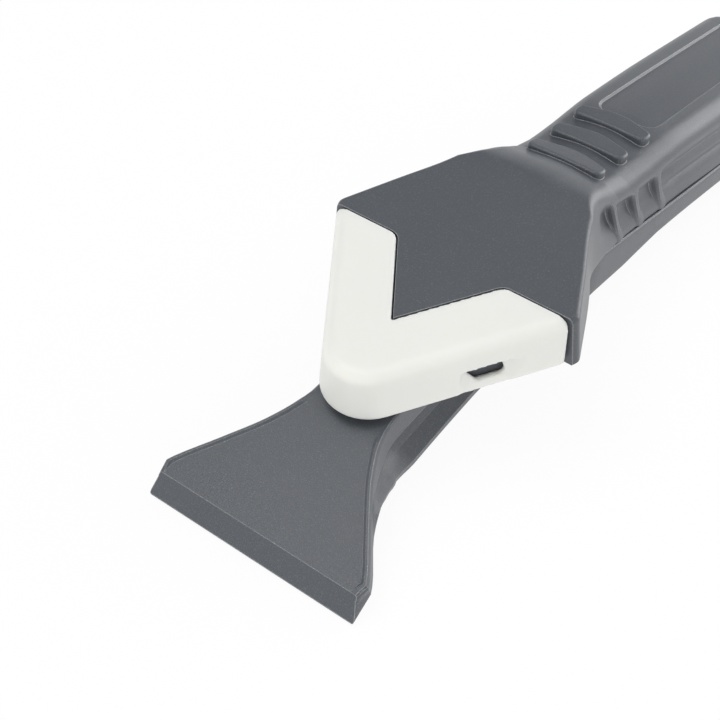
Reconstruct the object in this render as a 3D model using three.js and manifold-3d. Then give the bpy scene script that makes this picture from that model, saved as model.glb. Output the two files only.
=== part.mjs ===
// A pair of sealant hand tools that lie one on the other: a scraper with a fishtail blade below,
// and above it a joint smoother whose six-sided head carries a removable silicone V pad.
// Sizes are millimetres. In the level frame x runs along the handle from the blade to the butt,
// y is to the left and z is up. Its origin is the sharp point that the head's top face runs out to.
import * as THREE from 'three';
import { mergeVertices } from 'three/addons/utils/BufferGeometryUtils.js';
import Module from 'manifold-3d';

const wasm = await Module();
wasm.setup();
const { PI, sin, cos, tan, sqrt, min, max, abs } = Math;
const radians = THREE.MathUtils.degToRad;
const { lerp, smoothstep } = THREE.MathUtils;

// Fits and walls
const FIT = 0.3;
const SEAM = 0.16;
const WALL = 2;
const LIP_WALL = 1.6;
const LIP_RISE = 4;

// Smoothing head
const HEAD_PITCH = radians(15.4);
const HEAD_WIDTH = 52.6;
const HEAD_THICKNESS = 11.5;
const HEAD_LENGTH = 64;
const HEAD_BACK_WIDTH = 31;
const HEAD_EDGE = 1.2;
const HEAD_DRAFT = 1;
const CORING_FLOOR = 3.2;
const CORING_RIB = 2.2;

// Silicone V pad and the tongue that it is pushed on to
const V_HALF = radians(33.2);
const PAD_WIDTH = 51;
const PAD_ARM = 11.5;
const PAD_DEPTH = 10.6;
const PAD_DRAFT = 1.1;
const PAD_PROUD = 0.12;
const PAD_NOSE = 7.8;
const PAD_END = 2.4;
const PAD_CORNER = 1.6;
const PAD_TOP_EDGE = 2.2;
const PAD_LOW_EDGE = 0.8;
const PAD_WALL = 0.9;
const PAD_CLEAR = 1;
const TONGUE_DROP = 4;
const TONGUE_THICKNESS = 5;
const WINDOW_START = 25.8;
const WINDOW_LENGTH = 9;
const WINDOW_RUNOUT = 4;
const WINDOW_DROP = 5.1;
const WINDOW_INSET = 1;
const SLOT_LENGTH = 7.2;
const SLOT_HEIGHT = 3.2;

// Handle of the smoother
const NECK_LENGTH = 18;
const NECK_WIDTH = 24.6;
const NECK_DIP = 1;
const GRIP_WIDTH = 26.4;
const GRIP_LENGTH = 105.5;
const GRIP_SWELL = 2.2;
const UPPER_HEIGHT = 17.6;
const HANDLE_EDGE = 4.2;
const CROWN = 0.8;
const BUTT_ROUND = 12;
const BUTT_DROP = 5;

// Thumb bars on top of the handle
const BAR_COUNT = 3;
const BAR_PITCH = 9.7;
const BAR_LENGTH = 17;
const BAR_WIDTH = 6;
const BAR_END = 3.6;
const BAR_RISE = 1.3;
const BAR_EDGE = 0.6;

// Sunk sides of the handle, with their finger ribs and flutes
const SIDE_INSET = 1.3;
const SCOOP_DEPTH = 1.9;
const RIB_PITCH = 10;
const RIB_LEAN = 0.78;
const RIB_FRONT = 1.3;
const RIB_TOP = 0.8;
const RIB_BACK = 2.2;
const FLUTE_DEPTH = 0.75;
const FLUTE_HALF = 0.13;

// Shallow panel sunk into the handle's top
const PANEL_WIDTH = 13.6;
const PANEL_DEPTH = 0.5;
const PANEL_CORNER = 4;
const PANEL_STEP = 0.4;

// Scraper
const PLATE_PITCH = radians(28.1);
const PLATE_THICKNESS = 4;
const PLATE_JOIN = 12.5;
const BLADE_REACH = 25.5;
const BLADE_WIDTH = 44;
const BLADE_LEAN = -0.24;
const WAIST_WIDTH = 16;
const BEAD_RISE = 0.3;
const KEEL_DEPTH = 14.9;
const FLANGE_WIDTH = 18.6;
const WEB_INSET = 3;
const BAND_HEIGHT = 6.9;
const BAND_EDGE = 2.4;

// Places along the level frame that follow from the sizes above
const slope = tan(HEAD_PITCH);
const padBack = PAD_WIDTH / 2 / tan(V_HALF);
const shoulder = padBack + FIT;
const shoulderX = shoulder * cos(HEAD_PITCH);
const headBackX = HEAD_LENGTH * cos(HEAD_PITCH);
const headBackZ = HEAD_LENGTH * sin(HEAD_PITCH);
const neckX = headBackX + NECK_LENGTH;
const neckZ = headBackZ - NECK_DIP;
const buttX = neckX + GRIP_LENGTH;
const ledgeZ = neckZ - UPPER_HEIGHT;
const firstBarX = neckX - 2.9;
const lastBarX = firstBarX + (BAR_COUNT - 1) * BAR_PITCH;
const firstRibX = firstBarX - 2.6;
const lastRibX = firstRibX + (BAR_COUNT - 1) * RIB_PITCH;
const panelFront = lastBarX + 6.4;
const panelBack = buttX - BUTT_ROUND + 1;
const hollowFront = neckX + 4;
const hollowBack = buttX - BUTT_ROUND - 2;
const BEYOND = 30;

// A smooth curve through chosen points that never overshoots them.
function track(points) {
  const count = points.length;
  const rise = points.slice(1).map(([x, y], i) => (y - points[i][1]) / (x - points[i][0]));
  const lean = points.map((_, i) => {
    const before = rise[max(i - 1, 0)];
    const after = rise[min(i, count - 2)];
    return before * after <= 0 ? 0 : (2 * before * after) / (before + after);
  });
  return (x) => {
    if (x <= points[0][0]) return points[0][1];
    if (x >= points[count - 1][0]) return points[count - 1][1];
    const i = points.findIndex(([px]) => px > x) - 1;
    const width = points[i + 1][0] - points[i][0];
    const t = (x - points[i][0]) / width;
    const s = t * t * (3 - 2 * t);
    const hold = lerp(points[i][1], points[i + 1][1], s);
    return hold + width * t * (1 - t) * ((1 - t) * lean[i] - t * lean[i + 1]);
  };
}

// The lower of two heights, rounded where they cross.
function roundedMin(a, b, radius) {
  const h = max(radius - abs(a - b), 0) / radius;
  return min(a, b) - (h * h * radius) / 4;
}

// Height of a lengthwise line where a slanted station meets it.
function meet(line, station, top, slant) {
  let z = line(station);
  for (let pass = 0; pass < 12; pass += 1) z = line(station + slant * (top - z));
  return z;
}

function solidOf(geometry) {
  const bare = new THREE.BufferGeometry();
  bare.setAttribute('position', geometry.getAttribute('position'));
  bare.setIndex(geometry.getIndex());
  const merged = mergeVertices(bare, 1e-4);
  return new wasm.Manifold(new wasm.Mesh({
    numProp: 3,
    vertProperties: Float32Array.from(merged.getAttribute('position').array),
    triVerts: Uint32Array.from(merged.getIndex().array),
  }));
}

function geometryOf(solid) {
  const { vertProperties, triVerts } = solid.getMesh();
  const geometry = new THREE.BufferGeometry();
  geometry.setAttribute('position', new THREE.BufferAttribute(vertProperties, 3));
  geometry.setIndex(new THREE.BufferAttribute(triVerts, 1));
  return geometry;
}

// Closes a half outline, given from bottom centre to top centre, by mirroring it in y.
function mirrored(half) {
  return [...half, ...half.slice(1, -1).reverse().map(([y, z]) => [-y, z])];
}

// A skin over a row of rings that all have the same number of points, closed at both ends.
function skin(rings) {
  const ring = rings[0].length;
  const position = rings.flat(2);
  const index = [];
  for (let i = 0; i < rings.length - 1; i += 1) {
    for (let j = 0; j < ring; j += 1) {
      const k = (j + 1) % ring;
      const [a, b, c, d] = [i * ring + j, i * ring + k, (i + 1) * ring + k, (i + 1) * ring + j];
      index.push(a, b, c, a, c, d);
    }
  }
  for (const end of [0, rings.length - 1]) {
    const centre = position.length / 3;
    for (const axis of [0, 1, 2]) {
      const along = rings[end].map((point) => point[axis]);
      position.push((min(...along) + max(...along)) / 2);
    }
    for (let j = 0; j < ring; j += 1) {
      const edge = [end * ring + j, end * ring + ((j + 1) % ring)];
      index.push(centre, ...(end > 0 ? edge : edge.reverse()));
    }
  }
  const geometry = new THREE.BufferGeometry();
  geometry.setAttribute('position', new THREE.Float32BufferAttribute(position, 3));
  geometry.setIndex(index);
  return solidOf(geometry);
}

// A skin over sections across x. Each has a place along x, a slant, and a closed outline in y and z.
function loft(sections) {
  return skin(sections.map(({ x, slant, top, outline }) => (
    outline.map(([y, z]) => [x + slant * (top - z), y, z])
  )));
}

function arc(centreY, centreZ, radius, from, to, steps) {
  return Array.from({ length: steps + 1 }, (_, i) => {
    const angle = lerp(from, to, i / steps);
    return [centreY + radius * cos(angle), centreZ + radius * sin(angle)];
  });
}

// A flat outline given a height, between two levels of z, with its rims rounded.
function slab(outline, low, high, rim = 0) {
  const shape = new THREE.Shape(outline.map(([x, y]) => new THREE.Vector2(x, y)));
  const geometry = new THREE.ExtrudeGeometry(shape, {
    depth: high - low - 2 * rim,
    bevelEnabled: rim > 0,
    bevelThickness: rim,
    bevelSize: rim,
    bevelOffset: -rim,
    bevelSegments: 4,
  });
  geometry.translate(0, 0, low + rim);
  return solidOf(geometry);
}

// A polygon whose corners are rounded where a point gives a radius after its x and y.
function rounded(points) {
  return points.flatMap(([x, y, radius = 0], i) => {
    if (radius === 0) return [[x, y]];
    const corner = new THREE.Vector2(x, y);
    const [before, after] = [points.at(i - 1), points[(i + 1) % points.length]].map(
      ([px, py]) => new THREE.Vector2(px, py).sub(corner).normalize(),
    );
    const reach = radius / tan(before.angleTo(after) / 2);
    const [from, to] = [before, after].map((way) => corner.clone().addScaledVector(way, reach));
    return new THREE.QuadraticBezierCurve(from, corner, to).getPoints(5).map((p) => [p.x, p.y]);
  });
}

function inHeadFrame(solid) {
  return solid.rotate([0, -THREE.MathUtils.radToDeg(HEAD_PITCH), 0]);
}

// Lines along the tools, in the level frame
const crest = track([
  [-40, -40 * slope], [0, 0], [headBackX - 4, headBackZ - 4 * slope], [headBackX, headBackZ],
  [headBackX + 4.5, headBackZ + 0.8], [headBackX + 8, headBackZ + 0.7], [headBackX + 13, headBackZ - 0.2],
  [neckX, neckZ], [neckX + 8, neckZ + 0.1 * GRIP_SWELL], [neckX + 28, neckZ + 0.8 * GRIP_SWELL],
  [neckX + 58, neckZ + 0.95 * GRIP_SWELL], [buttX - BUTT_ROUND, neckZ + GRIP_SWELL],
]);
const headUnder = (x) => slope * x - HEAD_THICKNESS / cos(HEAD_PITCH);
const turnX = headBackX - 9.7;
const mating = track([
  [-40, headUnder(-40)], [0, headUnder(0)], [turnX - 4, headUnder(turnX - 4)], [turnX, headUnder(turnX)],
  [turnX + 5, headUnder(turnX) + 0.6], [turnX + 11, lerp(headUnder(turnX), ledgeZ, 0.15)],
  [neckX - 8, lerp(headUnder(turnX), ledgeZ, 0.7)], [neckX, ledgeZ + 0.2], [neckX + 6, ledgeZ],
]);
const seam = track([[neckX + 2, FIT / 2], [neckX + 9, SEAM / 2]]);
const handleHalf = track([
  [headBackX, HEAD_BACK_WIDTH / 2], [headBackX + 3, lerp(HEAD_BACK_WIDTH, NECK_WIDTH, 0.5) / 2],
  [headBackX + 7, lerp(HEAD_BACK_WIDTH, NECK_WIDTH, 0.82) / 2], [neckX - 5, NECK_WIDTH / 2 + 0.1],
  [neckX, NECK_WIDTH / 2], [neckX + 30, lerp(NECK_WIDTH, GRIP_WIDTH, 0.55) / 2],
  [neckX + 56, GRIP_WIDTH / 2], [buttX, GRIP_WIDTH / 2 + 0.1],
]);
const headHalf = track([
  [shoulderX - 24, PAD_ARM], [shoulderX - 0.5, HEAD_WIDTH / 2 - 0.7],
  [shoulderX + 0.5, HEAD_WIDTH / 2 - 0.2], [shoulderX + 1.3, HEAD_WIDTH / 2],
  [shoulderX + 2.3, lerp(HEAD_WIDTH, HEAD_BACK_WIDTH, 0.03) / 2],
  [lerp(shoulderX, headBackX, 0.5), lerp(HEAD_WIDTH, HEAD_BACK_WIDTH, 0.47) / 2],
  [headBackX - 1.5, lerp(HEAD_WIDTH, HEAD_BACK_WIDTH, 0.95) / 2], [headBackX, HEAD_BACK_WIDTH / 2],
]);
const buttRound = (x) => sqrt(1 - max(0, (x - buttX + BUTT_ROUND) / BUTT_ROUND) ** 2);
const upperHalf = (x) => (x < headBackX ? headHalf(x) : handleHalf(x)) * buttRound(x);
const buttFall = (x) => (1 - buttRound(x)) * BUTT_DROP;

// How far the side is sunk at a station, from its top edge (0) down to the ledge (1): finger scoops
// between ribs at the front, then a long sunk flank with flutes.
const sunk = track([
  [firstRibX - 7, 0], [firstRibX - 2.5, 1], [hollowBack, 1], [hollowBack + 5, 0],
]);
function sideInset(x, depth) {
  const behind = smoothstep(x, lastRibX + RIB_TOP, lastRibX + 5);
  const scoop = SCOOP_DEPTH * smoothstep(depth, 0, 0.34) * (1 - 0.82 * smoothstep(depth, 0.45, 0.9));
  const flank = SIDE_INSET * smoothstep(depth, 0, 0.22) * (0.85 - 0.5 * smoothstep(depth, 0.6, 1));
  const groove = (at) => cos((PI / 2) * min(1, abs(depth - at) / FLUTE_HALF)) ** 2;
  const flutes = FLUTE_DEPTH * (groove(0.3) + groove(0.62));
  let rib = 0;
  for (let i = 0; i < BAR_COUNT; i += 1) {
    const from = x - firstRibX - i * RIB_PITCH;
    const fall = 1 - smoothstep(from, RIB_TOP, RIB_TOP + RIB_BACK);
    rib = max(rib, min(smoothstep(from, -RIB_FRONT, 0), fall));
  }
  return sunk(x) * lerp(scoop, flank + flutes, behind) * (1 - rib);
}

// How much wider the head's walls are towards their foot.
const headDraft = track([
  [shoulderX, HEAD_DRAFT], [headBackX - 6, 1.5 * HEAD_DRAFT], [headBackX + 7, 0],
]);

// Half width and depth of the sunk top panel, with rounded corners at both ends.
function panelAt(x) {
  const inside = min(x - panelFront, panelBack - x);
  const turn = max(0, PANEL_CORNER - max(inside, 0));
  const half = PANEL_WIDTH / 2 - PANEL_CORNER + sqrt(PANEL_CORNER ** 2 - turn ** 2);
  return { half, depth: PANEL_DEPTH * smoothstep(inside, 0, PANEL_STEP) };
}

const edgeRadius = track([[headBackX, HEAD_EDGE], [neckX - 2, HANDLE_EDGE]]);
const crowning = track([[headBackX + 2, 0], [neckX, CROWN]]);
const upperSlant = track([
  [headBackX, slope], [neckX - 6, RIB_LEAN], [lastRibX + 5, RIB_LEAN], [lastRibX + 50, 0],
]);
const SIDE_STEPS = 12;

function upperSection(x) {
  const slant = upperSlant(x);
  const top = crest(x) - buttFall(x);
  const half = upperHalf(x);
  const low = meet((at) => mating(at) + seam(at), x, top, slant);
  const radius = min(edgeRadius(x), 0.45 * half);
  const flat = half - radius;
  const crown = crowning(x);
  const corner = top - crown - radius;
  const panel = panelAt(x);
  const across = (y) => top - crown * (y / flat) ** 2;
  const side = Array.from({ length: SIDE_STEPS }, (_, i) => {
    const depth = 1 - (i + 0.3) / SIDE_STEPS;
    return [half - sideInset(x, depth) + headDraft(x) * depth, lerp(corner, low, depth)];
  });
  const outer = min(panel.half + PANEL_STEP, flat * 0.9);
  const inner = min(panel.half, flat * 0.85);
  return {
    x, slant, top,
    outline: mirrored([
      [0, low], [side[0][0] - 0.15, low],
      ...side,
      ...arc(flat, corner, radius, 0, PI / 2, 7),
      [lerp(flat, outer, 0.5), across(lerp(flat, outer, 0.5))],
      [outer, across(outer)], [inner, across(inner) - panel.depth],
      [inner / 2, across(inner / 2) - panel.depth], [0, top - panel.depth],
    ]),
  };
}

// Stations are close together where the form turns and far apart where it runs straight.
function upperStations() {
  const places = [
    ...[-22, -12, -0.5, 0, 0.5, 0.9, 1.3, 1.8, 2.3].map((d) => shoulderX + d),
    lerp(shoulderX, headBackX, 0.5),
    ...[-13, -10, -8, -6, -4, -2, 0, 1.5, 3, 4.5, 6, 8, 10, 12].map((d) => headBackX + d),
    ...[0, 0.4, 1.2, 2.4, 4].map((d) => panelFront + d),
    ...[-4, -2.4, -1.2, -0.4, 0].map((d) => panelBack + d),
    hollowBack, hollowBack + 1.7, hollowBack + 3.4,
  ];
  for (let i = 0; i < BAR_COUNT; i += 1) {
    const rise = [-1, -0.7, -0.35, 0].map((share) => share * RIB_FRONT);
    const fall = [0, 0.25, 0.5, 0.75, 1].map((share) => RIB_TOP + share * RIB_BACK);
    places.push(...[...rise, ...fall].map((d) => firstRibX + i * RIB_PITCH + d));
  }
  for (let i = 1; i <= 7; i += 1) places.push(lerp(panelFront + PANEL_CORNER, hollowBack, i / 8));
  for (let i = 1; i <= 6; i += 1) places.push(buttX - BUTT_ROUND * (1 - sin((i / 6) * radians(80))));
  const sorted = places.sort((a, b) => a - b);
  return sorted.filter((x, i) => i === 0 || x - sorted[i - 1] > 0.15);
}

// A straight-sided hollow that follows the handle's width, between two heights.
function hollow(from, to, inset, low, high) {
  const steps = 6;
  return loft(Array.from({ length: steps + 1 }, (_, i) => {
    const x = lerp(from, to, i / steps);
    const half = handleHalf(x) - inset;
    const top = high(x);
    return { x, slant: 0, top, outline: mirrored([[0, low], [half, low], [half, top], [0, top]]) };
  }));
}

// V-shaped outlines in the head's own plane. inset is measured square to the V's outer edges.
function vOutline(inset, back, nose) {
  const apex = inset / sin(V_HALF);
  const half = (back - apex) * tan(V_HALF);
  const round = arc(apex + nose / sin(V_HALF), 0, nose, PI / 2 + V_HALF, 1.5 * PI - V_HALF, 12);
  return [...(nose > 0 ? round : [[apex, 0]]), [back, -half], [back, half]];
}

// What lies behind the V pad: a wedge between its arms and the shoulders at their ends.
function behindPad(gap) {
  const apex = (PAD_ARM + gap) / sin(V_HALF);
  const back = padBack + gap;
  const half = (back - apex) * tan(V_HALF);
  return rounded([
    [apex, 0], [back, -half, PAD_END + gap], [back, -2 * BEYOND], [back + 3 * BEYOND, -2 * BEYOND],
    [back + 3 * BEYOND, 2 * BEYOND], [back, 2 * BEYOND], [back, half, PAD_END + gap],
  ]);
}

function rectangle(x0, x1, half) {
  return [[x0, -half], [x1, -half], [x1, half], [x0, half]];
}

const padUnder = PAD_PROUD - PAD_DEPTH;
const tongueTop = -TONGUE_DROP;
const tongueLow = tongueTop - TONGUE_THICKNESS;

// A thumb bar: a nearly straight front edge, an arched back edge and round ends.
function thumbBar(x) {
  const half = BAR_LENGTH / 2;
  const front = -BAR_WIDTH / 2;
  const back = (share) => front + lerp(BAR_END, BAR_WIDTH, share);
  const outline = rounded([
    [front, half, 0.5 * BAR_END], [front + 0.4, 0], [front, -half, 0.48 * BAR_END],
    [back(0), -half, 0.48 * BAR_END], [back(0.6), -0.55 * half], [back(0.9), -0.28 * half], [back(1), 0],
    [back(0.9), 0.28 * half], [back(0.6), 0.55 * half], [back(0), half, 0.5 * BAR_END],
  ]);
  const low = crest(x) - CROWN - 1.5;
  const rise = (crest(x + BAR_WIDTH / 2) - crest(x - BAR_WIDTH / 2)) / BAR_WIDTH;
  const bar = slab(outline, low - crest(x), BAR_RISE - 0.35 * CROWN, BAR_EDGE);
  return bar.rotate([0, -THREE.MathUtils.radToDeg(Math.atan(rise)), 0]).translate([x, 0, crest(x)]);
}

// Pockets that core out the thick head from below, either side of a middle rib.
function headCoring() {
  const front = shoulder + 3.5;
  const back = (turnX - 1) / cos(HEAD_PITCH);
  const outer = (s) => headHalf(s * cos(HEAD_PITCH)) - 3;
  const inner = CORING_RIB / 2;
  const pocket = [[front, inner], [back, inner], [back, outer(back)], [front, outer(front)]];
  const left = slab(pocket, -HEAD_THICKNESS - 2, -CORING_FLOOR);
  return left.add(left.mirror([0, 1, 0]));
}

function smootherBody() {
  let body = loft(upperStations().map(upperSection));
  const ahead = slab(rectangle(-BEYOND, shoulder + 1, HEAD_WIDTH), -BEYOND, BEYOND);
  const kept = slab(behindPad(FIT), -BEYOND - 1, BEYOND + 1);
  body = body.subtract(inHeadFrame(ahead.subtract(kept)));
  const tongue = slab(vOutline(PAD_WALL + FIT, shoulder + 1, PAD_NOSE - PAD_WALL), tongueLow, tongueTop);
  body = body.add(inHeadFrame(tongue)).subtract(inHeadFrame(headCoring()));
  for (let i = 0; i < BAR_COUNT; i += 1) {
    body = body.add(thumbBar(firstBarX + BAR_WIDTH / 2 + i * BAR_PITCH));
  }

  const wall = SIDE_INSET * 1.25 + FLUTE_DEPTH + WALL;
  const lipRoof = ledgeZ + LIP_RISE + FIT;
  body = body.subtract(hollow(hollowFront, hollowBack, wall, ledgeZ - BEYOND, () => lipRoof));
  const bays = 4;
  const bay = (hollowBack - hollowFront) / bays;
  const roof = (x) => crest(x) - PANEL_DEPTH - CROWN - WALL;
  for (let i = 0; i < bays; i += 1) {
    const from = hollowFront + i * bay + WALL / 2;
    body = body.subtract(hollow(from, from + bay - WALL, wall + 0.8, lipRoof - 1, roof));
  }
  return body;
}

// The pad's outer form, wider towards its foot, with round top and bottom edges.
function padSleeve() {
  const lean = (z) => (PAD_DRAFT * (z - PAD_PROUD)) / PAD_DEPTH;
  const level = (z, turn) => {
    const inset = lean(z) + turn;
    return vOutline(inset, padBack + BEYOND, PAD_NOSE - inset).map(([x, y]) => [x, y, z]);
  };
  const foot = arc(0, 0, PAD_LOW_EDGE, -PI / 2, 0, 3);
  const brow = arc(0, 0, PAD_TOP_EDGE, 0, PI / 2, 6);
  return skin([
    ...foot.map(([out, up]) => level(padUnder + PAD_LOW_EDGE + up, PAD_LOW_EDGE - out)),
    ...brow.map(([out, up]) => level(PAD_PROUD - PAD_TOP_EDGE + up, PAD_TOP_EDGE - out)),
  ]);
}

function siliconePad() {
  const apex = -PAD_DRAFT / sin(V_HALF);
  const half = (padBack - apex) * tan(V_HALF);
  const plan = rounded([[apex, 0], [padBack, -half, PAD_CORNER], [padBack, half, PAD_CORNER]]);
  const pocket = slab(
    vOutline(PAD_WALL, padBack + BEYOND, PAD_NOSE - PAD_WALL + FIT), tongueLow - FIT, tongueTop + FIT,
  );
  let pad = padSleeve().intersect(slab(plan, -BEYOND, BEYOND));
  pad = pad.subtract(slab(behindPad(0), -2 * BEYOND, 2 * BEYOND)).subtract(pocket);
  for (const side of [-1, 1]) pad = pad.subtract(padWindow(side));
  return pad;
}

// A notch in the lower half of an arm's outer wall, deepest along its top and gone at the pad's foot
// and at its back end, with a slot in it that shows the tongue.
function padWindow(side) {
  const notchEnd = WINDOW_START + WINDOW_LENGTH;
  const foot = padUnder - 1;
  const wallAt = (z) => (PAD_DRAFT * (z - PAD_PROUD)) / PAD_DEPTH;
  const brow = -WINDOW_DROP;
  const ring = (u, inset) => [
    [u, -4, foot], [u, wallAt(foot) + 0.25 * inset, foot], [u, wallAt(brow - 1) + 0.85 * inset, brow - 1],
    [u, wallAt(brow) + inset, brow], [u, -4, brow],
  ];
  const ends = [[WINDOW_START, WINDOW_INSET], [notchEnd, WINDOW_INSET], [notchEnd + WINDOW_RUNOUT, -0.1]];
  const notch = skin(ends.map(([u, inset]) => ring(u, inset)));
  const start = WINDOW_START + 0.9;
  const high = WINDOW_DROP + 0.15;
  const slot = slab(
    [[start, high], [start + SLOT_LENGTH, high], [start + SLOT_LENGTH + 0.7, high + 0.77 * SLOT_HEIGHT],
      [start + SLOT_LENGTH + 0.1, high + SLOT_HEIGHT], [start + 2.5, high + SLOT_HEIGHT]],
    -3, PAD_WALL + 2 * FIT,
  ).rotate([-90, 0, 0]);
  const turned = notch.add(slot).rotate([0, 0, THREE.MathUtils.radToDeg(-V_HALF)]);
  return side < 0 ? turned : turned.mirror([0, 1, 0]);
}

// Scraper: lines along its top and underside
const bladeX = PLATE_JOIN - BLADE_REACH;
const underPad = (x) => slope * x + (padUnder - PAD_CLEAR) / cos(HEAD_PITCH);
const underSmoother = (x) => min(mating(x) - seam(x), underPad(x));
const joinZ = underSmoother(PLATE_JOIN);
const plateLine = (x) => joinZ + (x - PLATE_JOIN) * tan(PLATE_PITCH);
const scraperTop = (x) => roundedMin(plateLine(x), underSmoother(x), 1.5);
const bandUnder = ledgeZ - BAND_HEIGHT;
const keelZ = joinZ - KEEL_DEPTH;
const keel = track([
  [PLATE_JOIN - 14, keelZ + 8], [PLATE_JOIN - 9.3, keelZ + 5.4], [PLATE_JOIN - 5.5, keelZ + 3.5],
  [PLATE_JOIN - 0.5, keelZ + 1.6], [PLATE_JOIN + 4.5, keelZ + 0.3], [PLATE_JOIN + 8, keelZ],
  [PLATE_JOIN + 18, keelZ + 2.1], [PLATE_JOIN + 31, lerp(keelZ, bandUnder, 0.36)],
  [neckX, lerp(keelZ, bandUnder, 0.71)], [neckX + 15, lerp(keelZ, bandUnder, 0.795)],
  [neckX + 30, lerp(keelZ, bandUnder, 0.954)], [neckX + 46, bandUnder],
]);
const plateUnder = (x) => plateLine(x) - PLATE_THICKNESS / cos(PLATE_PITCH);
const scraperUnder = (x) => roundedMin(plateUnder(x), keel(x), 0.8);

const bladeHalf = BLADE_WIDTH / 2;
const waistHalf = WAIST_WIDTH / 2;
const flare = (share) => lerp(bladeHalf, waistHalf, share);
const bandStart = neckX - 4;
const topHalf = track([
  [bladeX, bladeHalf - 0.3], [bladeX + 2, bladeHalf + 0.25], [bladeX + 3.2, flare(0.035)],
  [bladeX + 9.6, flare(0.385)], [bladeX + 16.7, flare(0.75)], [bladeX + 21.8, flare(0.93)],
  [PLATE_JOIN - 0.3, flare(0.99)], [PLATE_JOIN + 5, waistHalf], [turnX, waistHalf],
  [bandStart, handleHalf(bandStart)],
]);
const flangeHalf = FLANGE_WIDTH / 2;
const lowHalf = track([
  [bladeX, bladeHalf + 0.55], [bladeX + 2, bladeHalf + 0.15], [bladeX + 3.2, flare(0.035)],
  [bladeX + 9.6, flare(0.38)], [bladeX + 12.2, flare(0.475)], [bladeX + 14, flare(0.53)],
  [bladeX + 16.5, flare(0.64)], [bladeX + 18.8, flare(0.73)], [bladeX + 20.9, flangeHalf + 1.8],
  [bladeX + 23, flangeHalf + 0.9], [PLATE_JOIN + 2.2, flangeHalf + 0.4], [PLATE_JOIN + 15, flangeHalf],
  [turnX - 10, flangeHalf], [bandStart, handleHalf(bandStart)],
]);
const beyondNeck = (line) => (x) => (x < bandStart ? line(x) : handleHalf(x) * buttRound(x));
const stripShare = track([
  [bladeX + 2, 0.22], [bladeX + 13, 0.4], [bladeX + 19, 0.42], [PLATE_JOIN + 4, 0.36],
  [turnX - 8, 0.36], [bandStart, 0.3],
]);
const flangeShare = track([
  [bladeX + 2, 0.86], [bladeX + 9, 0.8], [bladeX + 13, 0.75], [bladeX + 19, 0.85], [PLATE_JOIN, 0.87],
  [turnX - 8, 0.85], [bandStart, 0.65],
]);
const webInset = track([
  [bladeX + 12.5, 0], [bladeX + 17, 0.35 * WEB_INSET], [bladeX + 21, 0.75 * WEB_INSET],
  [PLATE_JOIN + 4, WEB_INSET], [turnX - 8, WEB_INSET], [turnX + 10, 0],
]);
const webRidge = track([[PLATE_JOIN - 3, 0], [PLATE_JOIN + 1, 1], [turnX - 4, 1], [turnX + 4, 0]]);
const bead = track([
  [bladeX, 0], [bladeX + 2, BEAD_RISE], [PLATE_JOIN - 4.5, BEAD_RISE], [PLATE_JOIN - 1.5, 0],
]);
const lowEdge = track([[bladeX, 0.4], [PLATE_JOIN - 6, 0.8], [turnX - 8, 1.2], [neckX, BAND_EDGE]]);
const lowSlant = track([
  [bladeX, BLADE_LEAN], [bladeX + 2, tan(PLATE_PITCH)], [PLATE_JOIN - 10, tan(PLATE_PITCH)],
  [PLATE_JOIN + 6, slope], [turnX, slope], [turnX + 20, 0],
]);

// The neck's sunk web from its lower flange up: share of the height, share of the depth without and
// with the small ridge under the top flange.
const webProfile = [
  [0.06, 0.3, 0.35], [0.2, 0.72, 0.8], [0.38, 0.95, 1], [0.56, 1, 0.96],
  [0.7, 0.88, 0.8], [0.78, 0.76, 0.45], [0.86, 0.56, 0.62], [0.95, 0.26, 0.5],
];

function lowerSection(x) {
  const slant = lowSlant(x);
  const top = scraperTop(x);
  const low = meet(scraperUnder, x, top, slant) + 0.6 * buttFall(x);
  const high = top - 0.2 * buttFall(x);
  const upper = beyondNeck(topHalf)(x);
  const lower = beyondNeck(lowHalf)(x);
  const height = high - low;
  const strip = high - stripShare(x) * height;
  const ledge = high - flangeShare(x) * height;
  const radius = min(lowEdge(x), 0.5 * lower);
  const rim = bead(x);
  const step = 0.35 * smoothstep(webInset(x), 0, 1);
  const web = webProfile.map(([share, plain, ridged]) => {
    const inset = webInset(x) * lerp(plain, ridged, webRidge(x));
    return [lerp(lower - step, upper, share) - inset, lerp(ledge, strip, share)];
  });
  const lip = min(0.4, 0.25 * upper);
  return {
    x, slant, top: high,
    outline: mirrored([
      [0, low], ...arc(lower - radius, low + radius, radius, -PI / 2, 0, 6),
      [lower, ledge - 0.35 * min(1, height / 6)], ...web, [upper, strip],
      [upper, high - 2 * lip], [upper - 0.3 * lip, high - 0.6 * lip],
      [upper - lip, high + rim], [upper - 2.2 * lip, high + rim], [upper - 3.8 * lip, high],
      [upper - 5 * lip, high], [0, high],
    ]),
  };
}

function lowerStations() {
  const places = [
    ...[0, 2, 3.2, 4.6, 6.4, 8, 9.6, 11, 12.2, 13, 14, 15, 16].map((d) => bladeX + d),
    ...[17, 18, 19, 20.2, 21.5, 22.6].map((d) => bladeX + d),
    ...[-1.5, 0, 1.5, 3, 5, 10, 15, 19, 25].map((d) => PLATE_JOIN + d),
    ...[-8, -3, 0, 2, 4, 6, 8, 11, 14, 17].map((d) => turnX + d),
    ...[-2, 3, 8, 15, 22, 30, 38, 46, 62].map((d) => neckX + d),
  ];
  for (let i = 0; i <= 6; i += 1) places.push(buttX - BUTT_ROUND * (1 - sin((i / 6) * radians(80))));
  const sorted = places.sort((a, b) => a - b);
  return sorted.filter((x, i) => i === 0 || x - sorted[i - 1] > 0.15);
}

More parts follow.
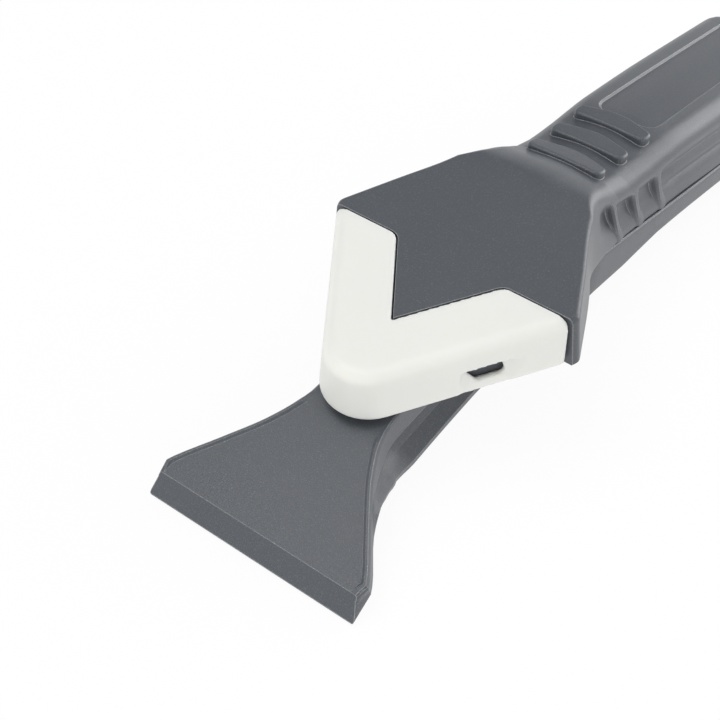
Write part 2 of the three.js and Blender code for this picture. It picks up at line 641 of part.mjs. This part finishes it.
function scraperBody() {
  const wall = SIDE_INSET * 1.25 + FLUTE_DEPTH + WALL + FIT;
  const lipTop = ledgeZ + LIP_RISE;
  const lip = hollow(hollowFront + FIT, hollowBack - FIT, wall, ledgeZ - 3, () => lipTop);
  const inset = FIT + LIP_WALL;
  const floor = bandUnder + WALL;
  const tray = hollow(hollowFront + inset, hollowBack - inset, wall + LIP_WALL, floor, () => lipTop + 1);
  return loft(lowerStations().map(lowerSection)).add(lip).subtract(tray.subtract(keelFloor()));
}

// The tray's floor where the underside still falls towards the neck.
function keelFloor() {
  return hollow(hollowFront - WALL, hollowFront + 1, 0, -2 * BEYOND, () => bandUnder + WALL);
}

function piece(name, solid, colour, roughness) {
  const material = new THREE.MeshStandardMaterial({ color: colour, roughness, metalness: 0 });
  const mesh = new THREE.Mesh(geometryOf(solid), material);
  mesh.name = name;
  return mesh;
}

// The pair lies on the blade's edge and the butt, with the middle of its box over the origin.
const tools = new THREE.Group();
const head = new THREE.Group();
head.rotation.y = -HEAD_PITCH;
head.add(piece('silicone_v_pad', siliconePad(), 0xecece6, 0.45));
tools.add(piece('scraper_body', scraperBody(), 0x5b5f64, 0.5));
tools.add(piece('smoother_body', smootherBody(), 0x5b5f64, 0.5));
tools.add(head);

const bladeDrop = meet(scraperUnder, bladeX, scraperTop(bladeX), BLADE_LEAN);
tools.rotation.y = Math.atan2(bandUnder - bladeDrop, buttX - BUTT_ROUND - bladeX);
const lying = new THREE.Group();
lying.add(tools);
lying.updateMatrixWorld(true);
const box = new THREE.Box3().setFromObject(lying, true);
tools.position.set(-(box.min.x + box.max.x) / 2, 0, -box.min.z);

export default lying;
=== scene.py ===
"""Sealant scraper pair: finishes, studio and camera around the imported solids."""

from __future__ import annotations

import logging
import math
from dataclasses import dataclass
from enum import Enum
from typing import Any

import bmesh
import bpy
from mathutils import Matrix, Vector

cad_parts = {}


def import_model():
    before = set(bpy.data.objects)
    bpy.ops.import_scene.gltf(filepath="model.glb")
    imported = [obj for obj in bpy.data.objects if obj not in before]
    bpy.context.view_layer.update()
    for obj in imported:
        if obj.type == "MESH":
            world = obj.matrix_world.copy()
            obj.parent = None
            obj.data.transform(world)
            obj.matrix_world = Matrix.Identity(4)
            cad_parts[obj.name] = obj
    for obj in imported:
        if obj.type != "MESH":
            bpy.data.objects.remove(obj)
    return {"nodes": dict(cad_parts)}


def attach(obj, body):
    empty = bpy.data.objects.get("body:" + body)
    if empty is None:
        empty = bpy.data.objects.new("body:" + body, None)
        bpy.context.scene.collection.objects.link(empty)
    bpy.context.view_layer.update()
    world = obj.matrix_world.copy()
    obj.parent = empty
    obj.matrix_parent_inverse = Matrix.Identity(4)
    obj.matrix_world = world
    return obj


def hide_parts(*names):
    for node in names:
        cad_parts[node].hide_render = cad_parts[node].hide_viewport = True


LOG = logging.getLogger("sealant_scraper")
MM = 0.001
Colour = tuple[float, float, float]
Rgba = tuple[float, float, float, float]
Point = tuple[float, float, float]
Span = tuple[float, float]

PURE_WHITE: Rgba = (1.0, 1.0, 1.0, 1.0)
NOISE_MEAN = 0.5
NOISE_ROUGHNESS = 0.55
CLOUD_OCTAVES = 4.0

# A Mix node's colour sockets go by number, because their names repeat.
MIX_SHARE, MIX_FIRST, MIX_SECOND, MIX_RESULT = 0, 6, 7, 2

# Normals that came with the solid and no longer fit the cleaned mesh.
STALE_NORMALS = ("custom_normal", "corner_normal")


class Tool(Enum):
    """The bodies that come apart."""

    SCRAPER = "scraper"
    SMOOTHER = "smoother"
    PAD = "pad"


class Slot(Enum):
    """The material slots."""

    GREY = "grey_plastic"
    WHITE = "white_silicone"


class Value:
    """A shader socket that takes part in Python arithmetic."""

    def __init__(self, paint: Paint, socket: bpy.types.NodeSocket | None) -> None:
        """Wraps one output socket of a paint's node tree, or none for an output node."""
        self.paint = paint
        self.socket = socket

    def _math(self, operation: str, first: Any, second: Any) -> Value:
        """Adds one Math node.

        Args:
            operation: the Math node's operation.
            first: a Value or a number.
            second: a Value or a number.

        Returns:
            The node's result.
        """
        return self.paint.add("ShaderNodeMath", {"operation": operation}, {0: first, 1: second})

    def __add__(self, other: Any) -> Value:
        """Adds."""
        return self._math("ADD", self, other)

    def __radd__(self, other: Any) -> Value:
        """Adds to a number."""
        return self._math("ADD", other, self)

    def __sub__(self, other: Any) -> Value:
        """Subtracts."""
        return self._math("SUBTRACT", self, other)

    def __rsub__(self, other: Any) -> Value:
        """Subtracts from a number."""
        return self._math("SUBTRACT", other, self)

    def __mul__(self, other: Any) -> Value:
        """Multiplies."""
        return self._math("MULTIPLY", self, other)

    def __rmul__(self, other: Any) -> Value:
        """Multiplies a number."""
        return self._math("MULTIPLY", other, self)


class Paint:
    """A material's or world's node tree, built by adding nodes to it."""

    def __init__(self, tree: bpy.types.NodeTree) -> None:
        """Starts from an empty tree."""
        self.tree = tree
        tree.nodes.clear()

    @classmethod
    def material(cls, name: str) -> tuple[bpy.types.Material, Paint]:
        """Makes a new material.

        Args:
            name: the material's name.

        Returns:
            The material and the paint that builds it.
        """
        made = bpy.data.materials.new(name)
        made.use_nodes = True
        return made, cls(made.node_tree)

    def add(
        self,
        kind: str,
        settings: dict[str, Any] | None = None,
        sockets: dict[Any, Any] | None = None,
        out: int | str = 0,
    ) -> Value:
        """Adds a node.

        Args:
            kind: the node's type.
            settings: its properties, set before its sockets. A ramp's stops go under "stops".
            sockets: values or links by socket name or number.
            out: which output is wanted.

        Returns:
            That output, wrapped.
        """
        node = self.tree.nodes.new(kind)
        for key, setting in (settings or {}).items():
            if key == "stops":
                self._stops(node.color_ramp, setting)
            else:
                setattr(node, key, setting)
        for key, given in (sockets or {}).items():
            socket = node.inputs[key]
            if isinstance(given, Value):
                self.tree.links.new(given.socket, socket)
            else:
                socket.default_value = given
        return Value(self, node.outputs[out] if node.outputs else None)

    @staticmethod
    def _stops(ramp: bpy.types.ColorRamp, stops: list[tuple[float, float]]) -> None:
        """Sets the grey stops of a new ramp, which has two.

        Args:
            ramp: the ramp.
            stops: position and level of both stops.
        """
        for element, (place, level) in zip(ramp.elements, stops):
            element.position = place
            element.color = (level, level, level, 1.0)

    def ramp(self, measure: Value, span: Span) -> Value:
        """Rises from 0 to 1 while a value crosses a span.

        Args:
            measure: the value.
            span: where the rise starts and where it ends.

        Returns:
            The level from 0 to 1.
        """
        stops = [(span[0], 0.0), (span[1], 1.0)]
        return self.add("ShaderNodeValToRGB", {"stops": stops}, {0: measure})

    def mix(self, share: Any, first: Any, second: Any) -> Value:
        """Mixes two colours.

        Args:
            share: how much of the second, as a Value or number.
            first: a colour with alpha, or a Value.
            second: a colour with alpha, or a Value.

        Returns:
            The mixed colour.
        """
        return self.add(
            "ShaderNodeMix",
            {"data_type": "RGBA"},
            {MIX_SHARE: share, MIX_FIRST: first, MIX_SECOND: second},
            MIX_RESULT,
        )

    def blend(self, share: Value, first: Value, second: Value) -> Value:
        """Mixes two shaders.

        Args:
            share: how much of the second.
            first: a shader.
            second: a shader.

        Returns:
            The mixed shader.
        """
        return self.add("ShaderNodeMixShader", sockets={0: share, 1: first, 2: second})

    def noise(self, scale: float, octaves: float) -> Value:
        """Solid noise in the object's own space.

        Args:
            scale: features per metre.
            octaves: how many finer layers there are.

        Returns:
            The noise from 0 to 1.
        """
        where = self.add("ShaderNodeTexCoord", out="Object")
        return self.add(
            "ShaderNodeTexNoise",
            {"noise_dimensions": "3D"},
            {"Vector": where, "Scale": scale, "Detail": octaves, "Roughness": NOISE_ROUGHNESS},
        )

    def seen_by(self, *rays: str) -> Value:
        """Tells the named kinds of ray from the rest.

        Args:
            rays: kinds such as "Camera", as the Light Path node names them.

        Returns:
            1 for those rays and 0 for others.
        """
        first, *rest = (self.add("ShaderNodeLightPath", out=f"Is {ray} Ray") for ray in rays)
        return sum(rest, first)

    def output(self, shader: Value) -> None:
        """Joins a shader to the material's output."""
        self.add("ShaderNodeOutputMaterial", sockets={"Surface": shader})


def rgba(colour: Colour, gain: float = 1.0) -> Rgba:
    """A colour with alpha, made lighter or darker.

    Args:
        colour: linear red, green and blue.
        gain: factor on all three.

    Returns:
        Four numbers.
    """
    return (colour[0] * gain, colour[1] * gain, colour[2] * gain, 1.0)


@dataclass(frozen=True)
class MouldedPlastic:
    """Satin grey plastic with a fine spark-eroded grain, painted glints on the grain and a
    painted highlight along the edges.
    """

    name: str = "grey_moulded_plastic"
    colour: Colour = (0.066, 0.072, 0.082)
    roughness: float = 0.38
    ior: float = 1.5
    cloud_per_m: float = 70.0
    cloud_gains: Span = (0.92, 1.08)
    cloud_rough: float = 0.10
    grain_per_m: float = 3400.0
    grain_octaves: float = 2.0
    grain_height: float = 0.00004
    grain_strength: float = 0.8
    grain_rough: float = 0.08
    # Lighter dots at the grain's high points: painted glints, where light would catch the grain.
    glint: float = 0.5
    glint_gain: float = 2.2
    glint_span: Span = (0.55, 0.72)
    edge_radius: float = 0.0003
    edge_samples: int = 8
    # Lighter colour along the edges: a painted highlight that stands in for the glint of the
    # rounded edges.
    edge_highlight: Colour = (0.45, 0.46, 0.475)
    edge_highlight_span: Span = (0.008, 0.06)
    edge_highlight_least: float = 0.5

    def make(self) -> bpy.types.Material:
        """Builds the material.

        Returns:
            The material.
        """
        material, paint = Paint.material(self.name)
        cloud = paint.noise(self.cloud_per_m, CLOUD_OCTAVES)
        grain = paint.noise(self.grain_per_m, self.grain_octaves)
        glint = paint.ramp(grain, self.glint_span)
        eased = paint.add(
            "ShaderNodeBevel", {"samples": self.edge_samples}, {"Radius": self.edge_radius}
        )
        # Painted edge highlight at half strength, and at full strength where the grain has its
        # painted glints.
        highlight_mask = self._highlight_mask(paint, eased) * (self.edge_highlight_least + glint * (1.0 - self.edge_highlight_least))
        tone = paint.mix(cloud, *(rgba(self.colour, gain) for gain in self.cloud_gains))
        # Painted glints: the base colour made lighter at the grain's high points.
        glinted_tone = paint.mix(glint * self.glint, tone, rgba(self.colour, self.glint_gain))
        rough = (
            self.roughness
            + (cloud - NOISE_MEAN) * self.cloud_rough
            + (grain - NOISE_MEAN) * self.grain_rough
        )
        bump = paint.add(
            "ShaderNodeBump",
            sockets={
                "Strength": self.grain_strength,
                "Distance": self.grain_height,
                "Height": grain,
                "Normal": eased,
            },
        )
        paint.output(
            paint.add(
                "ShaderNodeBsdfPrincipled",
                sockets={
                    # Base colour with the painted glints and the painted edge highlight.
                    "Base Color": paint.mix(highlight_mask, glinted_tone, rgba(self.edge_highlight)),
                    "Roughness": rough,
                    "Normal": bump,
                    "IOR": self.ior,
                },
            )
        )
        return material

    def _highlight_mask(self, paint: Paint, eased: Value) -> Value:
        """Finds the edges, where the eased normal leaves the face's own, for the painted edge
        highlight.

        Args:
            paint: the material's paint.
            eased: the normal with rounded edges.

        Returns:
            1 along the edges and 0 on the faces.
        """
        plain = paint.add("ShaderNodeNewGeometry", out="Normal")
        level = paint.add(
            "ShaderNodeVectorMath", {"operation": "DOT_PRODUCT"}, {0: eased, 1: plain}, "Value"
        )
        return paint.ramp(1.0 - level, self.edge_highlight_span)


@dataclass(frozen=True)
class SoftSilicone:
    """White silicone, slightly see-through, with a faint skin texture."""

    name: str = "white_silicone"
    colour: Colour = (0.795, 0.79, 0.746)
    roughness: float = 0.38
    ior: float = 1.41
    cloud_per_m: float = 110.0
    cloud_gains: Span = (0.975, 1.02)
    cloud_rough: float = 0.14
    skin_per_m: float = 1500.0
    skin_octaves: float = 3.0
    skin_height: float = 0.00003
    skin_strength: float = 0.2
    depth: float = 0.0025
    depth_share: float = 0.35
    depth_radius: Colour = (1.0, 0.9, 0.75)

    def make(self) -> bpy.types.Material:
        """Builds the material.

        Returns:
            The material.
        """
        material, paint = Paint.material(self.name)
        cloud = paint.noise(self.cloud_per_m, CLOUD_OCTAVES)
        skin = paint.noise(self.skin_per_m, self.skin_octaves)
        tone = paint.mix(cloud, *(rgba(self.colour, gain) for gain in self.cloud_gains))
        bump = paint.add(
            "ShaderNodeBump",
            sockets={
                "Strength": self.skin_strength,
                "Distance": self.skin_height,
                "Height": skin,
            },
        )
        paint.output(
            paint.add(
                "ShaderNodeBsdfPrincipled",
                sockets={
                    "Base Color": tone,
                    "Roughness": self.roughness + (cloud - NOISE_MEAN) * self.cloud_rough,
                    "Normal": bump,
                    "Subsurface Weight": self.depth_share,
                    "Subsurface Radius": self.depth_radius,
                    "Subsurface Scale": self.depth,
                    "IOR": self.ior,
                },
            )
        )
        return material


@dataclass
class Moulding:
    """One moulded piece: a cleaned copy of its solid, with smooth faces and sharp edges."""

    node: str
    tool: Tool
    slot: Slot
    crease_deg: float = 22.0
    under: float = -0.3
    weld: float = 0.002 * MM
    sliver: float = 0.004 * MM
    passes: int = 3
    fold_deg: float = 126.0
    strip: float = 1.2 * MM
    strip_lean: float = 0.7
    flat_weight: int = 50

    def build(self, source: bpy.types.Object) -> bpy.types.Object:
        """Copies the solid with shared vertices, smooth faces and sharp edges.

        Args:
            source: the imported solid.

        Returns:
            The piece, riding on its tool.
        """
        mesh = bpy.data.meshes.new(f"{self.node}_skin")
        work = bmesh.new()
        work.from_mesh(source.data)
        bmesh.ops.remove_doubles(work, verts=work.verts, dist=self.weld)
        for _ in range(self.passes):
            bmesh.ops.dissolve_degenerate(work, edges=work.edges, dist=self.sliver)
            work.normal_update()
            self._unfold(work)
        self._crease(work)
        work.to_mesh(mesh)
        work.free()
        for name in STALE_NORMALS:
            if name in mesh.attributes:
                mesh.attributes.remove(mesh.attributes[name])
        piece = bpy.data.objects.new(f"{self.node}_skin", mesh)
        bpy.context.scene.collection.objects.link(piece)
        flatten = piece.modifiers.new("flat_faces", "WEIGHTED_NORMAL")
        flatten.keep_sharp = True
        flatten.weight = self.flat_weight
        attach(piece, self.tool.value)
        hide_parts(self.node)
        return piece

    def _unfold(self, work: bmesh.types.BMesh) -> None:
        """Closes thin strips of a wall that run back over themselves.

        Args:
            work: the piece's mesh, changed in place.
        """
        limit = math.radians(self.fold_deg)
        folds = {edge for edge in work.edges if edge.calc_face_angle(0.0) > limit}
        corners = {vert for edge in folds for vert in edge.verts}
        strips = []
        for edge in work.edges:
            span = edge.verts[0].co - edge.verts[1].co
            upright = span.length < self.strip and abs(span.x) < self.strip_lean * abs(span.z)
            if upright and edge not in folds and corners.issuperset(edge.verts):
                strips.append(edge)
        bmesh.ops.collapse(work, edges=strips)

    def _crease(self, work: bmesh.types.BMesh) -> None:
        """Smooths every face, and keeps steep edges and those of the underside sharp.

        Args:
            work: the piece's mesh, changed in place.
        """
        for face in work.faces:
            face.smooth = True
        limit = math.radians(self.crease_deg)
        for edge in work.edges:
            low = any(face.normal.z < self.under for face in edge.link_faces)
            edge.smooth = not low and edge.calc_face_angle(math.pi) < limit

    def dress(self, piece: bpy.types.Object, material: bpy.types.Material) -> None:
        """Gives the piece its one material.

        Args:
            piece: the piece.
            material: its finish.
        """
        piece.data.materials.clear()
        piece.data.materials.append(material)
        LOG.info("%s: %d faces, %s", piece.name, len(piece.data.polygons), material.name)


@dataclass
class SiliconePad(Moulding):
    """The V pad, with the soft edges of moulded silicone."""

    voxel: float = 0.28 * MM
    relax: int = 7
    relax_factor: float = 0.5

    def build(self, source: bpy.types.Object) -> bpy.types.Object:
        """Remeshes the pad's solid finely and relaxes its edges.

        Args:
            source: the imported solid.

        Returns:
            The piece, riding on its tool.
        """
        piece = super().build(source)
        remesh = piece.modifiers.new("skin", "REMESH")
        remesh.mode = "VOXEL"
        remesh.voxel_size = self.voxel
        remesh.use_smooth_shade = True
        soften = piece.modifiers.new("soften", "SMOOTH")
        soften.factor = self.relax_factor
        soften.iterations = self.relax
        return piece


@dataclass(frozen=True)
class SoftBox:
    """A square soft box that hangs at a place and faces a point."""

    name: str
    place: Point
    aim: Point
    side: float
    watts: float

    def build(self) -> None:
        """Hangs the light in the scene."""
        light = bpy.data.lights.new(self.name, "AREA")
        light.size = self.side
        light.energy = self.watts
        lamp = bpy.data.objects.new(self.name, light)
        lamp.location = self.place
        facing = Vector(self.aim) - Vector(self.place)
        lamp.rotation_euler = facing.to_track_quat("-Z", "Y").to_euler()
        bpy.context.scene.collection.objects.link(lamp)


@dataclass
class Studio:
    """A pale floor, soft light all round, and soft boxes overhead, in front and behind."""

    floor_half: float = 4.0
    floor_drop: float = 0.0004
    floor_colour: Rgba = (0.9, 0.9, 0.9, 1.0)
    floor_glow: float = 0.65
    floor_lift: float = 0.28
    sky: Rgba = (0.97, 0.985, 1.0, 1.0)
    overhead: float = 0.93
    backdrop: float = 1.2
    gap: float = 0.17
    gap_foot: Span = (0.18, 0.34)
    gap_head: Span = (0.52, 0.80)
    boxes: tuple[SoftBox, ...] = (
        SoftBox("key", (-0.26, 0.19, 0.66), (-0.03, 0.0, 0.02), side=0.35, watts=1.3),
        SoftBox("fill", (-0.52, -0.16, 0.15), (-0.03, 0.0, 0.02), side=0.40, watts=0.65),
        SoftBox("rim", (0.60, -0.30, 0.20), (0.04, 0.0, 0.02), side=0.70, watts=4.4),
    )

    def build(self) -> None:
        """Makes the floor, the world and the lights."""
        self._floor()
        self._world()
        for box in self.boxes:
            box.build()

    def _floor(self) -> None:
        """A white floor that keeps only a faint shadow."""
        half = self.floor_half
        mesh = bpy.data.meshes.new("floor")
        corners = [(-half, -half, 0), (half, -half, 0), (half, half, 0), (-half, half, 0)]
        mesh.from_pydata(corners, [], [(0, 1, 2, 3)])
        floor = bpy.data.objects.new("floor", mesh)
        floor.location.z = -self.floor_drop
        bpy.context.scene.collection.objects.link(floor)
        material, paint = Paint.material("pale_floor")
        plain = paint.add("ShaderNodeBsdfDiffuse", sockets={"Color": self.floor_colour})
        white = paint.add("ShaderNodeEmission", sockets={"Color": PURE_WHITE, "Strength": 1.0})
        glow = self.floor_glow + paint.seen_by("Camera", "Glossy") * self.floor_lift
        paint.output(paint.blend(glow, plain, white))
        mesh.materials.append(material)

    def _world(self) -> None:
        """White to the camera, and else a bright backdrop, a dim gap and a soft ceiling."""
        world = bpy.data.worlds.new("studio")
        bpy.context.scene.world = world
        world.use_nodes = True
        paint = Paint(world.node_tree)
        where = paint.add("ShaderNodeTexCoord", out="Generated")
        height = paint.add("ShaderNodeSeparateXYZ", sockets={0: where}, out="Z")
        low, dim, high, white = (
            paint.add("ShaderNodeBackground", sockets={"Color": tint, "Strength": level})
            for tint, level in (
                (self.sky, self.backdrop),
                (self.sky, self.gap),
                (self.sky, self.overhead),
                (PURE_WHITE, 1.0),
            )
        )
        lower = paint.blend(paint.ramp(height, self.gap_foot), low, dim)
        soft = paint.blend(paint.ramp(height, self.gap_head), lower, high)
        mixed = paint.blend(paint.seen_by("Camera", "Transmission"), soft, white)
        paint.add("ShaderNodeOutputWorld", sockets={"Surface": mixed})


@dataclass
class PhotoCamera:
    """The photograph's view, held in the frame of the smoothing head's top face."""

    head_point: Point = (-84.2694 * MM, 0.0, 26.2226 * MM)
    head_pitch_deg: float = 9.5897
    place: Point = (-112.03 * MM, -97.06 * MM, 180.24 * MM)
    right: Point = (0.598, -0.801, -0.020)
    down: Point = (-0.615, -0.442, -0.653)
    forward: Point = (0.514, 0.403, -0.757)
    lens: float = 70.0
    sensor: float = 36.0
    nearest: float = 0.005

    def build(self) -> None:
        """Makes the camera and gives it to the scene."""
        turn = Matrix.Rotation(-math.radians(self.head_pitch_deg), 3, "Y")
        data = bpy.data.cameras.new("photo_view")
        data.lens = self.lens
        data.sensor_width = self.sensor
        data.clip_start = self.nearest
        camera = bpy.data.objects.new("photo_view", data)
        right, down, forward = (turn @ Vector(v) for v in (self.right, self.down, self.forward))
        look = Matrix((right, -down, -forward)).transposed()
        camera.rotation_mode = "QUATERNION"
        camera.rotation_quaternion = look.to_quaternion()
        camera.location = turn @ Vector(self.place) + Vector(self.head_point)
        bpy.context.scene.collection.objects.link(camera)
        bpy.context.scene.camera = camera


def main() -> None:
    """Builds the pieces, dresses them and sets up the studio."""
    logging.basicConfig(level=logging.INFO)
    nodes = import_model()["nodes"]
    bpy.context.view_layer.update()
    bpy.context.scene.view_settings.view_transform = "Standard"
    grey = MouldedPlastic().make()
    # The scraper's finish: coarser grain with stronger painted glints.
    coarse = MouldedPlastic(
        "grey_coarse_plastic", grain_per_m=4800.0, grain_height=0.00006, glint=0.75
    ).make()
    white = SoftSilicone().make()
    parts = [
        (Moulding("scraper_body", Tool.SCRAPER, Slot.GREY), coarse),
        (Moulding("smoother_body", Tool.SMOOTHER, Slot.GREY), grey),
        (SiliconePad("silicone_v_pad", Tool.PAD, Slot.WHITE), white),
    ]
    for part, finish in parts:
        part.dress(part.build(nodes[part.node]), finish)
    Studio().build()
    PhotoCamera().build()


if __name__ == "__main__":
    main()
